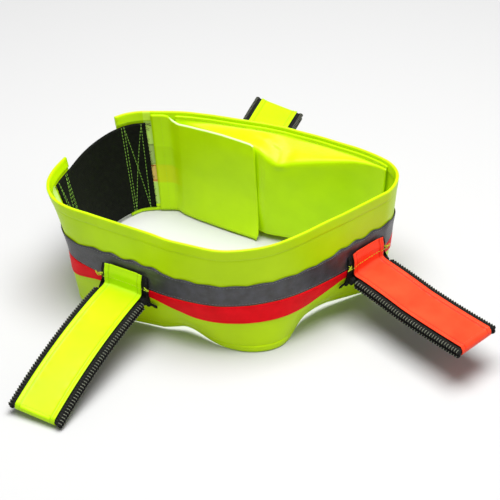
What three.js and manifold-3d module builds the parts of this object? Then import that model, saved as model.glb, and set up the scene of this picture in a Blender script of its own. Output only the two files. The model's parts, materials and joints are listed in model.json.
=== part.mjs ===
// Inflatable buoyancy belt: a coated-fabric band closed at the wearer's back by a wide elastic, with
// reflective and orange tapes, three grab tabs, and an inner pouch that holds the folded bladder.
// Millimetres, +Z up. The band stands on its foot edge, and the origin is the middle of its base.
//
// Places on the band are given as (s, v, out): s runs along the rim from the centre-front tab, first to
// the turn and the pouch; v runs up the cloth from the foot edge; out is outwards from its inner face.

import * as THREE from 'three';
import { mergeVertices } from 'three/addons/utils/BufferGeometryUtils.js';
import Module from 'manifold-3d';

// ---- Band ----
const bandHeight = 116;
const rearLength = 370; // from the front tab's centre, past the pouch, to the band's rear end
const frontLength = 400; // from the front tab's centre, past the left tab, to the band's front end
const elasticSpan = 92; // free length of the elastic between the two band ends
const fabric = 1.2;
const topHem = 10;
const footHem = 6;
const hemStep = 0.4; // height over which a hem's edge falls back to the single cloth
const turnAt = 52; // where the band bends as the belt is stretched open
const gap = 0.3; // between layers that touch
const stationPitch = 14;

// ---- Tapes ----
const tapeThickness = 0.4;
const orangeTapeFoot = 34;
const orangeTapeWidth = 20;
const greyTapeWidth = 23;
const tapeSpacing = 0.4;

// ---- Elastic ----
const elasticThickness = 1.5;
const elasticClearance = 0.6; // from each hem's edge
const elasticLap = 29; // sewn inside each band end
const crossInset = 4; // of the boxed crosses, from the lap's edges and the elastic's

// ---- Thread ----
const threadWidth = 0.8;
const threadThickness = 0.35;
const hemStitchInset = 1.6; // from the hem's inner edge
const threadPitch = 8; // longest straight piece of a sewn line
const threadLift = 0.6; // thread lies this far proud, because its rows cut across the cloth's curves

// ---- Grab tabs ----
const webbingWidth = 52;
const webbingThickness = 3; // one leg; the free part of a tab is two legs
const coverWidth = 40;
const coverThickness = 0.6;
const tabFold = 45; // height of the fold on the band
const rootTop = 74;
const rootFoot = 29;
const rootCoverInset = 3;
const beadRadius = 3; // the rolled fold that the tab turns on
const foldClearance = 0.8; // between the bead and the webbing that turns on it
const beadNeck = 2.1; // half the height over which the bead leaves the webbing
const tipWrap = 24; // how far the cover is folded under at the tip
const tackHeight = 12; // the bar tack's height above the fold
const tackInset = 1; // of the bar tack's ends, from the webbing's edges
const coverStart = 1; // the cover begins this far out on the free webbing
const coverStitchInset = 3;
const coverStitchStart = 5; // from the start of the free webbing
const yawReach = 60; // how far out a tab takes to swing to its side

// ---- Pouch ----
const pouchStart = 84;
const pouchPeak = 205; // where the pouch stands furthest from the wall
const pouchEnd = 300;
const pouchDepth = 28;
const pouchEndDepth = 2.5;
const pouchSeamInset = 4; // of the top seam, below the rim
const pouchSeamLap = 5; // of the panel on the top hem, where it is sewn
const pouchSeamFoot = 3.5; // the panel's foot, above the band's
const pouchCrease = 6; // the crease, below the top hem
const seamStitchInset = 2; // of the pouch's top stitches, from the panel's ends
const seamStitchRise = 3; // of the pouch's top stitches, above the top hem's edge
const flapFree = 217; // the flap's free edge
const flapRoot = 316; // where the flap leaves its sewn strip
const flapStrip = 15;
const flapClearance = 1.5; // of the free edge, from the pouch's panel
const flapInset = 3; // of the flap's long edges, from the rim and the foot
const flapStitchInset = 3; // of its stitches, from those edges
const flapBow = 0.7; // below 1, the flap swells away from a straight line as it leaves the wall

// ---- Bladder and its oral tube ----
const bladderStart = 112;
const bladderEnd = 246;
const bladderInset = 20; // from the rim and from the foot
const bladderClearance = 1.2;
const bladderFill = 0.9; // of the pouch's depth
const bladderCorner = 6;
const tubeRadius = 5;
const tubeBore = 3.4;
const tubeLength = 58;
const capRadius = 6;
const capLength = 14;
const capPlug = 3; // how far the cap's plug enters the tube
const capChamfer = 1.5;

const colours = {
  yellowFabric: [0xaadc00, 0.35],
  orangeFabric: [0xff5236, 0.45],
  greyTape: [0x565a66, 0.5],
  orangeTape: [0xd81a20, 0.45],
  elastic: [0x14150f, 0.9],
  webbing: [0x171713, 0.8],
  yellowThread: [0xb4be32, 0.7],
  greenThread: [0x86b050, 0.7],
  bladder: [0xd8d23a, 0.5],
  blackPlastic: [0x1c1c1e, 0.5],
  redPlastic: [0xb01c1c, 0.5],
};

// How the band stands: the rim's plan, and how far the wall leans in at the knee and at the foot.
const stand = [
  { x: 104, y: -11, knee: 0, foot: 18 },
  { x: 125, y: 9, knee: 3, foot: 10 },
  { x: 134, y: 34, knee: 4, foot: 10 },
  { x: 128, y: 56, knee: 3, foot: 7 },
  { x: 104, y: 77, knee: 0, foot: 0 },
  { x: 62, y: 103, knee: 0, foot: 0 },
  { x: 12, y: 126, knee: 0, foot: 0 },
  { x: -38, y: 141, knee: 0, foot: 0 },
  { x: -84, y: 148, knee: 0, foot: 0 },
  { x: -120, y: 143, knee: 0, foot: 0 },
  { x: -149, y: 113, knee: 0, foot: 2 },
  { x: -167, y: 72, knee: 8, foot: 14 },
  { x: -183, y: 24, knee: 21, foot: 31 },
  { x: -172, y: -8, knee: 12, foot: 20 },
  { x: -140, y: -30, knee: 2, foot: 9 },
  { x: -100, y: -51, knee: 0, foot: 10 },
  { x: -66, y: -72, knee: 1, foot: 24 },
  { x: -22, y: -86, knee: 3, foot: 12 },
  { x: 22, y: -76, knee: 1, foot: 0 },
  { x: 62, y: -45, knee: -4, foot: 19 },
];
const kneeHeight = 54;
const kneePower = 1.5; // how sharply the cloth curls in below the knee

// ---- Grab tabs: place along the band, length beyond the fold and fabric, and in degrees the slope at
// the fold and at the tip, the swing sideways from the wall's normal and the twist by the tip ----
const tabs = [
  {
    name: 'front',
    s: -1,
    length: 136,
    fabric: 'orangeFabric',
    rootSlope: -6,
    tipSlope: 2,
    yaw: -4,
    twist: 0,
  },
  {
    name: 'left',
    s: -252,
    length: 149,
    fabric: 'yellowFabric',
    rootSlope: -5,
    tipSlope: -25,
    yaw: 0,
    twist: 5,
  },
  {
    name: 'back',
    s: 245,
    length: 147,
    fabric: 'yellowFabric',
    rootSlope: 1.5,
    tipSlope: -4.5,
    yaw: 1,
    twist: -14,
  },
];

const orangeTapeTop = orangeTapeFoot + orangeTapeWidth;
const greyTapeFoot = orangeTapeTop + tapeSpacing;
const greyTapeTop = greyTapeFoot + greyTapeWidth;
const tapeFace = fabric + gap;
const rootFace = tapeFace + tapeThickness + gap;
const rootCoverFace = rootFace + webbingThickness + gap;
const foldOut = rootFace + webbingThickness + beadRadius + gap;
const hemFace = -fabric;
const elasticFace = -gap;
const pouchFace = hemFace - gap; // wall side of the pouch's sewn edges

const ringLength = rearLength + elasticSpan + frontLength;

// ---- The form that every layer of the band lies on ----

const rimPlan = new THREE.CatmullRomCurve3(
  stand.map(({ x, y }) => new THREE.Vector3(x, y, 0)),
  true,
);
rimPlan.arcLengthDivisions = 1200;
const leanPlan = new THREE.CatmullRomCurve3(
  stand.map(({ knee, foot }) => new THREE.Vector3(knee, foot, 0)),
  true,
  'catmullrom',
);
const planScale = ringLength / rimPlan.getLength();

function evenly(from, to, pitch) {
  const count = Math.max(1, Math.round((to - from) / pitch));
  return Array.from({ length: count }, (_, i) => from + ((to - from) * i) / count);
}

// A tab's stiff root holds the wall straight, so no station falls inside it.
const rootHalf = webbingWidth / 2 + 2;
const stations = [];
const elasticStart = rearLength - elasticLap;
const elasticEnd = rearLength + elasticSpan + elasticLap;
const breaks = [-frontLength, elasticEnd - ringLength, turnAt, elasticStart, rearLength];
breaks.push(ringLength - frontLength);
for (const { s } of tabs) breaks.push(s - rootHalf, s + rootHalf);
breaks.sort((a, b) => a - b);
for (let i = 0; i + 1 < breaks.length; i += 1) {
  const isRoot = tabs.some(({ s }) => Math.abs(s - (breaks[i] + breaks[i + 1]) / 2) < 1);
  stations.push(...evenly(breaks[i], breaks[i + 1], isRoot ? 1000 : stationPitch));
}
stations.push(ringLength - frontLength);

const levels = [
  0,
  footHem,
  orangeTapeFoot / 2,
  orangeTapeFoot,
  (orangeTapeFoot + orangeTapeTop) / 2,
  orangeTapeTop,
  greyTapeTop,
  (greyTapeTop + bandHeight - topHem) / 2,
  bandHeight - topHem,
  bandHeight,
];

function leanAt(v, { x: knee, y: foot }) {
  if (v >= kneeHeight) return (knee * (bandHeight - v)) / (bandHeight - kneeHeight);
  return knee + (foot - knee) * ((kneeHeight - v) / kneeHeight) ** kneePower;
}

// The cloth keeps its width: what leans in is taken off its height, from the level rim downwards.
function latticeColumn(s) {
  const t = rimPlan.getUtoTmapping(THREE.MathUtils.euclideanModulo(s / ringLength, 1));
  const rim = rimPlan.getPoint(t).multiplyScalar(planScale);
  const tangent = rimPlan.getTangent(t);
  const outward = new THREE.Vector3(tangent.y, -tangent.x, 0);
  const lean = leanPlan.getPoint(t);
  const column = levels.map(() => null);
  let z = bandHeight;
  for (let j = levels.length - 1; j >= 0; j -= 1) {
    const v = levels[j];
    if (j + 1 < levels.length) {
      const run = leanAt(v, lean) - leanAt(levels[j + 1], lean);
      z -= Math.sqrt((levels[j + 1] - v) ** 2 - run ** 2);
    }
    const slope = leanAt(v - 1, lean) - leanAt(v + 1, lean);
    const normal = outward.clone().multiplyScalar(Math.sqrt(1 - (slope / 2) ** 2));
    normal.z = -slope / 2;
    const point = rim.clone().addScaledVector(outward, -leanAt(v, lean)).setZ(z);
    column[j] = { point, normal };
  }
  return column;
}
const lattice = stations.map(latticeColumn);

function cellOf(values, value) {
  let i = 0;
  while (i < values.length - 2 && value >= values[i + 1]) i += 1;
  return { i, share: (value - values[i]) / (values[i + 1] - values[i]) };
}

function onBand(s, v, out) {
  const base = s > ringLength - frontLength ? s - ringLength : s;
  const across = cellOf(stations, base);
  const up = cellOf(levels, v);
  const corner = (di, dj) => {
    const { point, normal } = lattice[across.i + di][up.i + dj];
    return point.clone().addScaledVector(normal, out);
  };
  const foot = corner(0, 0).lerp(corner(1, 0), across.share);
  const head = corner(0, 1).lerp(corner(1, 1), across.share);
  return foot.lerp(head, up.share);
}

function between(values, from, to) {
  return [from, ...values.filter((value) => value > from + 0.05 && value < to - 0.05), to];
}
const allStations = [...stations, ...stations.map((s) => s + ringLength)];
const stationsIn = (from, to) => between(allStations, from, to);
const levelsIn = (from, to) => between(levels, from, to);

// ---- Solids ----

function signedVolume(position, index) {
  const corners = [new THREE.Vector3(), new THREE.Vector3(), new THREE.Vector3()];
  let sum = 0;
  for (let i = 0; i < index.length; i += 3) {
    corners.forEach((corner, k) => corner.fromArray(position, index[i + k] * 3));
    sum += corners[0].dot(corners[1].cross(corners[2]));
  }
  return sum / 6;
}

// A closed body swept along a list of stations. Its section is two rows of points, one for each face,
// that run the same way; it is the same all along or is worked out at each station, and place puts a
// point (station, first, second) in space.
function strip(along, section, place) {
  const sectionAt = typeof section === 'function' ? section : () => section;
  const outlineAt = (s) => {
    const [face, back] = sectionAt(s);
    return [...face, ...[...back].reverse()];
  };
  const position = [];
  for (const s of along) {
    for (const [first, second] of outlineAt(s)) position.push(...place(s, first, second).toArray());
  }
  const shape = outlineAt(along[0]);
  const count = shape.length;
  const index = [];
  for (let i = 0; i + 1 < along.length; i += 1) {
    for (let j = 0; j < count; j += 1) {
      const next = (j + 1) % count;
      const a = i * count + j;
      const b = i * count + next;
      // Each face is split from its low corner to its high one, so layers that touch are split alike.
      if (shape[next][0] > shape[j][0]) index.push(a, b, b + count, a, b + count, a + count);
      else index.push(a, b, a + count, b, b + count, a + count);
    }
  }
  const last = (along.length - 1) * count;
  for (let k = 0; k + 1 < count / 2; k += 1) {
    const [a, b, c, d] = [k, k + 1, count - 2 - k, count - 1 - k];
    index.push(a, c, b, a, d, c);
    index.push(a + last, b + last, c + last, a + last, c + last, d + last);
  }
  if (signedVolume(position, index) < 0) {
    for (let i = 0; i < index.length; i += 3) [index[i], index[i + 1]] = [index[i + 1], index[i]];
  }
  const geometry = new THREE.BufferGeometry();
  geometry.setAttribute('position', new THREE.Float32BufferAttribute(position, 3));
  geometry.setIndex(index);
  return geometry;
}

// The section of a flat layer between two heights and two distances out.
function layer(foot, head, inner, outer) {
  const rows = levelsIn(foot, head);
  return [rows.map((v) => [v, outer]), rows.map((v) => [v, inner])];
}

function bandLayer(from, to, foot, head, inner, outer) {
  return strip(stationsIn(from, to), layer(foot, head, inner, outer), onBand);
}

// The two faces of a ribbon of even thickness about a line of points.
function ribbon(points, thickness) {
  const faces = [[], []];
  points.forEach((point, i) => {
    const before = points[Math.max(0, i - 1)];
    const after = points[Math.min(points.length - 1, i + 1)];
    const along = new THREE.Vector2(after[0] - before[0], after[1] - before[1]).normalize();
    const reach = thickness / 2;
    faces[0].push([point[0] - along.y * reach, point[1] + along.x * reach]);
    faces[1].push([point[0] + along.y * reach, point[1] - along.x * reach]);
  });
  return faces;
}

const wasm = await Module();
wasm.setup();

function solidOf(geometry) {
  const merged = mergeVertices(geometry, 1e-4);
  return new wasm.Manifold(
    new wasm.Mesh({
      numProp: 3,
      vertProperties: merged.getAttribute('position').array,
      triVerts: new Uint32Array(merged.index.array),
    }),
  );
}

function join(geometries) {
  const joined = geometries.map(solidOf).reduce((sum, solid) => sum.add(solid));
  const { vertProperties, triVerts } = joined.getMesh();
  const geometry = new THREE.BufferGeometry();
  geometry.setAttribute('position', new THREE.Float32BufferAttribute(vertProperties, 3));
  geometry.setIndex(Array.from(triVerts));
  return geometry;
}

const belt = new THREE.Group();

function piece(name, geometry, colour) {
  const [color, roughness] = colours[colour];
  geometry.computeVertexNormals();
  const material = new THREE.MeshStandardMaterial({ color, roughness, metalness: 0 });
  const mesh = new THREE.Mesh(geometry, material);
  mesh.name = name;
  belt.add(mesh);
  return mesh;
}

// ---- Band halves, tapes and hem stitching ----

function hemmedBand(from, to) {
  const wall = levelsIn(footHem + hemStep, bandHeight - topHem - hemStep);
  const inner = [
    [0, hemFace],
    [footHem, hemFace],
    ...wall.map((v) => [v, 0]),
    [bandHeight - topHem, hemFace],
    [bandHeight, hemFace],
  ];
  const outer = inner.map(([v]) => [v, fabric]);
  return strip(stationsIn(from, to), [outer, inner], onBand);
}

const halves = [
  { name: 'rear', from: turnAt + gap / 2, to: rearLength },
  { name: 'front', from: -frontLength, to: turnAt - gap / 2 },
];
const stitchFace = fabric + threadLift;
for (const { name, from, to } of halves) {
  piece(`${name}_band`, hemmedBand(from, to), 'yellowFabric');
  const tapeTo = tapeFace + tapeThickness;
  piece(
    `${name}_orange_tape`,
    bandLayer(from, to, orangeTapeFoot, orangeTapeTop, tapeFace, tapeTo),
    'orangeTape',
  );
  piece(
    `${name}_reflective_tape`,
    bandLayer(from, to, greyTapeFoot, greyTapeTop, tapeFace, tapeTo),
    'greyTape',
  );
  const stitchTo = stitchFace + threadThickness;
  const rimRow = bandHeight - topHem + hemStitchInset;
  const footRow = footHem - hemStitchInset;
  piece(
    `${name}_rim_stitching`,
    bandLayer(from, to, rimRow, rimRow + threadWidth, stitchFace, stitchTo),
    'yellowThread',
  );
  piece(
    `${name}_foot_stitching`,
    bandLayer(from, to, footRow - threadWidth, footRow, stitchFace, stitchTo),
    'yellowThread',
  );
}

// ---- Elastic and the boxed crosses that hold it ----

const elasticFoot = footHem + elasticClearance;
const elasticTop = bandHeight - topHem - elasticClearance;
const elasticInner = elasticFace - elasticThickness;
piece(
  'back_elastic',
  bandLayer(elasticStart, elasticEnd, elasticFoot, elasticTop, elasticInner, elasticFace),
  'elastic',
);

function threadSection(face, back) {
  return [face, back].map((out) => [
    [-1, out],
    [1, out],
  ]);
}

// One row of thread on the band, straight in the cloth from one place to another.
function threadBar(from, to, face) {
  const run = new THREE.Vector2(to[0] - from[0], to[1] - from[1]);
  const side = new THREE.Vector2(-run.y, run.x).setLength(threadWidth / 2);
  const steps = Math.ceil(run.length() / threadPitch);
  const along = Array.from({ length: steps + 1 }, (_, i) => i / steps);
  return strip(along, threadSection(face, face - threadThickness), (t, across, out) =>
    onBand(from[0] + run.x * t + side.x * across, from[1] + run.y * t + side.y * across, out),
  );
}

function boxedCross(left, right) {
  const [low, high] = [elasticFoot + crossInset, elasticTop - crossInset];
  const face = elasticInner - threadLift;
  const reach = threadWidth / 2;
  const bars = [
    [[left, low - reach], [left, high + reach]],
    [[right, low - reach], [right, high + reach]],
    [[left - reach, low], [right + reach, low]],
    [[left - reach, high], [right + reach, high]],
    [[left, low], [right, high]],
    [[left, high], [right, low]],
  ];
  return join(bars.map(([from, to]) => threadBar(from, to, face)));
}
piece(
  'rear_elastic_stitching',
  boxedCross(elasticStart + crossInset, rearLength - crossInset),
  'greenThread',
);
piece(
  'front_elastic_stitching',
  boxedCross(elasticEnd - elasticLap + crossInset, elasticEnd - crossInset),
  'greenThread',
);

// ---- Grab tabs ----

const degrees = THREE.MathUtils.degToRad;
const up = new THREE.Vector3(0, 0, 1);
const hinges = {};

// Thread along a line of places on a cloth, mitred where the line turns.
function threadRun(points, face, place) {
  const corners = points.map((point) => new THREE.Vector2(...point));
  const sides = corners.map((corner, i) => {
    const before = i > 0 ? corner.clone().sub(corners[i - 1]).normalize() : null;
    const after = i + 1 < corners.length ? corners[i + 1].clone().sub(corner).normalize() : null;
    const along = (before ?? after).clone().add(after ?? before).normalize();
    const reach = threadWidth / 2 / along.dot(after ?? before);
    return new THREE.Vector2(-along.y, along.x).multiplyScalar(reach);
  });
  const along = corners.map((_, i) => i);
  return strip(along, threadSection(face, face + threadThickness), (i, across, out) => {
    const at = corners[i].clone().addScaledVector(sides[i], across);
    return place(at.x, at.y, out);
  });
}

// The root webbing lies on the wall and is rolled into a bead at the fold.
function rootWebbing(s) {
  const face = rootFace + webbingThickness;
  const neck = beadNeck;
  const open = Math.asin(neck / beadRadius);
  const bead = evenly(-Math.PI + open, Math.PI - open, (Math.PI - open) / 4);
  const outer = [
    [rootFoot, face],
    [orangeTapeFoot, face],
    ...bead.map((a) => [tabFold + beadRadius * Math.sin(a), foldOut + beadRadius * Math.cos(a)]),
    [tabFold + neck, face],
    [orangeTapeTop, face],
    [rootTop, face],
  ];
  const inner = [
    [rootFoot, rootFace],
    [orangeTapeFoot, rootFace],
    ...bead.map((a) => [tabFold + (neck * a) / Math.PI, rootFace]),
    [tabFold + neck, rootFace],
    [orangeTapeTop, rootFace],
    [rootTop, rootFace],
  ];
  return strip([s - webbingWidth / 2, s + webbingWidth / 2], [outer, inner], onBand);
}

for (const tab of tabs) {
  const { name, s } = tab;
  const halfCover = coverWidth / 2;
  piece(`${name}_tab_root`, rootWebbing(s), 'webbing');
  piece(
    `${name}_tab_root_cover`,
    bandLayer(
      s - halfCover,
      s + halfCover,
      tabFold + beadRadius + gap,
      rootTop - rootCoverInset,
      rootCoverFace,
      rootCoverFace + coverThickness,
    ),
    tab.fabric,
  );
  const tackFace = rootCoverFace + coverThickness + gap;
  piece(
    `${name}_tab_bar_tack`,
    bandLayer(
      s - webbingWidth / 2 + tackInset,
      s + webbingWidth / 2 - tackInset,
      tabFold + tackHeight,
      tabFold + tackHeight + threadWidth,
      tackFace,
      tackFace + threadThickness,
    ),
    'yellowThread',
  );

  // The free part: u runs from the fold's centre to the tip, w across, t up from the webbing's middle.
  const foldStart = onBand(s - webbingWidth / 2, tabFold, foldOut);
  const foldEnd = onBand(s + webbingWidth / 2, tabFold, foldOut);
  const across = foldEnd.clone().sub(foldStart).setZ(0).normalize();
  const outward = new THREE.Vector3(across.y, -across.x, 0);
  const outwardOf = (u) =>
    outward.clone().applyAxisAngle(up, degrees(tab.yaw) * Math.min(1, u / yawReach));
  const fold = foldStart.clone().lerp(foldEnd, 0.5);
  hinges[`${name}_tab`] = { at: fold, axis: across };
  const onTab = (u, w, t) => {
    const turn = degrees((tab.tipSlope - tab.rootSlope) * (u / tab.length));
    const slope = degrees(tab.rootSlope) + turn;
    const chord = u * (turn === 0 ? 1 : Math.sin(turn / 2) / (turn / 2));
    const chordSlope = degrees(tab.rootSlope) + turn / 2;
    const roll = degrees(tab.twist) * (u / tab.length);
    const side = w * Math.cos(roll) + t * Math.sin(roll);
    const lift = t * Math.cos(roll) - w * Math.sin(roll);
    const r = chord * Math.cos(chordSlope) - lift * Math.sin(slope);
    const z = chord * Math.sin(chordSlope) + lift * Math.cos(slope);
    return fold.clone().addScaledVector(outwardOf(u), r).addScaledVector(across, side).setZ(fold.z + z);
  };
  const tabStart = beadRadius + foldClearance;
  const tip = tab.length - coverThickness - gap;
  const rows = [...evenly(tabStart, tip, 15), tip];
  const coverColumns = [-halfCover, -halfCover / 2, 0, halfCover / 2, halfCover];
  const columns = [-webbingWidth / 2, ...coverColumns, webbingWidth / 2];
  const legs = [webbingThickness, -webbingThickness].map((t) => columns.map((w) => [w, t]));
  piece(`${name}_tab_webbing`, strip(rows, legs, onTab), 'webbing');

  // The cover lies on the webbing, turns round its tip and ends under it.
  const inside = webbingThickness + gap;
  const middle = inside + coverThickness / 2;
  const tipFace = tip + gap + coverThickness / 2;
  const top = between(rows, tabStart + coverStart, tipFace - coverThickness);
  const under = between(rows, tab.length - tipWrap, tipFace - coverThickness);
  const path = [
    ...top.map((u) => [u, middle]),
    [tipFace, middle - coverThickness],
    [tipFace, coverThickness - middle],
    ...under.reverse().map((u) => [u, -middle]),
  ];
  const faces = ribbon(path, coverThickness);
  const coverSection = [0, 1].map((face) => coverColumns.map((w) => [w, face]));
  const coverPlace = (i, w, face) => onTab(faces[face][i][0], w, faces[face][i][1]);
  piece(`${name}_tab_cover`, strip([...path.keys()], coverSection, coverPlace), tab.fabric);

  // Two rows along the cover's edges and one across its tip.
  const side = halfCover - coverStitchInset;
  const sewn = between(rows, tabStart + coverStitchStart, tab.length - coverStitchInset);
  const run = [...sewn.map((u) => [u, -side]), ...[...sewn].reverse().map((u) => [u, side])];
  piece(`${name}_tab_stitching`, threadRun(run, middle + coverThickness / 2 + gap, onTab), 'yellowThread');
}

// ---- Pouch ----

// How far the pouch stands from its sewn edges at a place along the band.
function depthAt(s) {
  const share =
    s < pouchPeak
      ? (1 - Math.cos((Math.PI * (s - pouchStart)) / (pouchPeak - pouchStart))) / 2
      : (pouchEnd - s) / (pouchEnd - pouchPeak);
  return pouchEndDepth + (pouchDepth - pouchEndDepth) * share;
}

const pouchMiddle = pouchFace - fabric / 2;
// From the top seam over the crease, down the front, and back to the foot hem.
function pouchLine(s) {
  const depth = depthAt(s);
  const seamTop = bandHeight - pouchSeamInset;
  const crease = bandHeight - topHem - pouchCrease;
  const foot = pouchSeamFoot;
  const out = (share) => pouchMiddle - depth * share;
  return [
    [seamTop, pouchMiddle],
    [seamTop - pouchSeamLap, pouchMiddle],
    [crease + 3, out(0.6)],
    [crease - 2, out(0.93)],
    [crease - 12, out(1)],
    [bandHeight / 2, out(1)],
    [foot + 18, out(0.96)],
    [foot + 4, out(0.88)],
    [foot, out(0.72)],
    [foot, pouchMiddle],
  ];
}
piece(
  'pouch_panel',
  strip(stationsIn(pouchStart, pouchEnd), (s) => ribbon(pouchLine(s), fabric), onBand),
  'yellowFabric',
);
const pouchRow = bandHeight - topHem + seamStitchRise;
const pouchStitchFace = pouchFace - fabric - threadLift;
piece(
  'pouch_seam_stitching',
  bandLayer(
    pouchStart + seamStitchInset,
    pouchEnd - seamStitchInset,
    pouchRow,
    pouchRow + threadWidth,
    pouchStitchFace - threadThickness,
    pouchStitchFace,
  ),
  'yellowThread',
);

const stripEnd = flapRoot + flapStrip;
piece(
  'flap_sewn_edge',
  bandLayer(flapRoot, stripEnd, flapInset, bandHeight - flapInset, pouchFace - fabric, pouchFace),
  'yellowFabric',
);
piece(
  'flap_stitching',
  join([
    threadBar(
      [flapRoot + flapStrip / 2, flapInset + flapStitchInset],
      [flapRoot + flapStrip / 2, bandHeight - flapInset - flapStitchInset],
      pouchStitchFace,
    ),
  ]),
  'yellowThread',
);

// The flap leaves the wall at its sewn edge and covers the pouch's mouth.
const flapStart = flapRoot - gap;
const flapReach = depthAt(flapFree) + fabric + flapClearance;
function flapOutline(s) {
  const share = ((flapStart - s) / (flapStart - flapFree)) ** flapBow;
  const out = pouchFace - flapReach * share;
  return layer(flapInset, bandHeight - flapInset, out - fabric, out);
}
piece('pouch_flap', strip(stationsIn(flapFree, flapStart), flapOutline, onBand), 'yellowFabric');
hinges.flap = {
  at: onBand(flapRoot, bandHeight / 2, pouchFace - fabric),
  axis: new THREE.Vector3(0, 0, -1),
};

// ---- Bladder and oral tube ----

const bladderFoot = bladderInset;
const bladderTop = bandHeight - bladderInset;
piece(
  'folded_bladder',
  strip(
    stationsIn(bladderStart, bladderEnd),
    (s) => {
      const inner = pouchFace + bladderClearance - gap - depthAt(s) * bladderFill;
      const corner = Math.min(bladderCorner, -inner / 2);
      const folds = [
        [bladderFoot, inner + corner],
        [bladderFoot + corner, inner],
        [bladderTop - corner, inner],
        [bladderTop, inner + corner],
      ];
      return [folds.map(([v]) => [v, -gap]), folds];
    },
    onBand,
  ),
  'bladder',
);

function turned(profile) {
  const points = profile.map(([radius, height]) => new THREE.Vector2(radius, height));
  return new THREE.LatheGeometry([...points, points[0]], 24).rotateX(Math.PI / 2);
}
const tubePlace = onBand(bladderEnd + capRadius + 2 * gap, bladderFoot, -gap - capRadius);
const oralTube = piece(
  'oral_inflation_tube',
  turned([
    [tubeBore, 0],
    [tubeRadius, 0],
    [tubeRadius, tubeLength],
    [tubeBore, tubeLength],
  ]),
  'blackPlastic',
);
oralTube.position.copy(tubePlace);
const stopper = tubeBore - gap;
const oralCap = piece(
  'oral_tube_cap',
  turned([
    [0, -capPlug],
    [stopper, -capPlug],
    [stopper, gap],
    [capRadius, gap],
    [capRadius, capLength - capChamfer],
    [capRadius - capChamfer, capLength],
    [0, capLength],
  ]),
  'redPlastic',
);
oralCap.position.copy(tubePlace).setZ(tubePlace.z + tubeLength);

hinges.band_turn = {
  at: onBand(turnAt, bandHeight, tapeFace + tapeThickness),
  axis: new THREE.Vector3(0, 0, 1),
};

// ---- The part's frame: origin at the middle of the base ----

const bounds = new THREE.Box3().setFromObject(belt, true);
const centre = bounds.getCenter(new THREE.Vector3());
belt.position.set(-centre.x, -centre.y, -bounds.min.z);
const part = new THREE.Group();
part.add(belt);
part.userData.hinges = hinges;

export default part;
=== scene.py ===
import json
import math

import bmesh
import bpy
import numpy as np
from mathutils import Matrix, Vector


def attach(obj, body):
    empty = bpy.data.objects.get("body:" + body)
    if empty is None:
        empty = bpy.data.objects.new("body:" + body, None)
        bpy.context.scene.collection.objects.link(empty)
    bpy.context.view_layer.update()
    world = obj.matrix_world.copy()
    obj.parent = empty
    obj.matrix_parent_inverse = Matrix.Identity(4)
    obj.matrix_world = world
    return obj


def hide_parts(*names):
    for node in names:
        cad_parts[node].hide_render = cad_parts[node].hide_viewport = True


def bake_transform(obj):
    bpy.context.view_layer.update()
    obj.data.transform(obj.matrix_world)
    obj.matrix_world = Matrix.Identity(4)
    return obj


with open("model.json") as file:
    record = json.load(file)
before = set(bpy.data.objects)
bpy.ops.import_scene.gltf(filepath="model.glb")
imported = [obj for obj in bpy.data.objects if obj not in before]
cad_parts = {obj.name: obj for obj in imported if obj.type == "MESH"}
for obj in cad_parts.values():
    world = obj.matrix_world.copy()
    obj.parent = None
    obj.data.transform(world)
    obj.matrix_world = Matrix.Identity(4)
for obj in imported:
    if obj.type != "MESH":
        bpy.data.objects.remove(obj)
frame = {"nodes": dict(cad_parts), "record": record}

scene = bpy.context.scene
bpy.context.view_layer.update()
joints = {joint["name"]: joint for joint in frame["record"]["behaviour"]["joints"]}
print("frame loaded")

# The form that the belt's cloth lies on.
# Sizes here are millimetres: s runs along the rim, v up the cloth, out away from its inner face.
belt = {
    "height": 116,
    "rearLength": 370,
    "frontLength": 400,
    "elasticSpan": 92,
    "cloth": 1.2,
    "topHem": 10,
    "footHem": 6,
    "turnAt": 52,
    "kneeHeight": 54,
    "kneePower": 1.5,
    "rootHalf": 28,
    "calmFade": 26,
    "rootPlaces": (-1, -252, 245),
    "levels": (0, 6, 17, 34, 44, 54, 77.4, 91.7, 106, 116),
}
# How the belt stands: the rim's plan x and y, and the wall's lean at the knee and at the foot.
stand = np.array([
    (104, -11, 0, 18), (125, 9, 3, 10), (134, 34, 4, 10), (128, 56, 3, 7), (104, 77, 0, 0),
    (62, 103, 0, 0), (12, 126, 0, 0), (-38, 141, 0, 0), (-84, 148, 0, 0), (-120, 143, 0, 0),
    (-149, 113, 0, 2), (-167, 72, 8, 14), (-183, 24, 21, 31), (-172, -8, 12, 20), (-140, -30, 2, 9),
    (-100, -51, 0, 10), (-66, -72, 1, 24), (-22, -86, 3, 12), (22, -76, 1, 0), (62, -45, -4, 19),
], float)
ringLength = belt["rearLength"] + belt["elasticSpan"] + belt["frontLength"]


def cubic(start, end, leave, arrive, w):
    bend = -3 * start + 3 * end - 2 * leave - arrive
    return start + leave * w + bend * w**2 + (2 * start - 2 * end + leave + arrive) * w**3


def closedCurve(points, t, even):
    # a smooth closed curve through the points; even spaces its knots by their distances
    p = np.asarray(t, float) * len(points)
    i = np.floor(p).astype(int)
    w = (p - i)[..., None]
    p0, p1, p2, p3 = (points[(i + k) % len(points)] for k in (-1, 0, 1, 2))
    if even:
        pairs = ((p0, p1), (p1, p2), (p2, p3))
        d0, d1, d2 = (np.sqrt(np.linalg.norm(b - a, axis=-1))[..., None] for a, b in pairs)
        m1 = ((p1 - p0) / d0 - (p2 - p0) / (d0 + d1) + (p2 - p1) / d1) * d1
        m2 = ((p2 - p1) / d1 - (p3 - p1) / (d1 + d2) + (p3 - p2) / d2) * d1
    else:
        m1, m2 = (p2 - p0) / 2, (p3 - p1) / 2
    return cubic(p1, p2, m1, m2, w)


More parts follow.
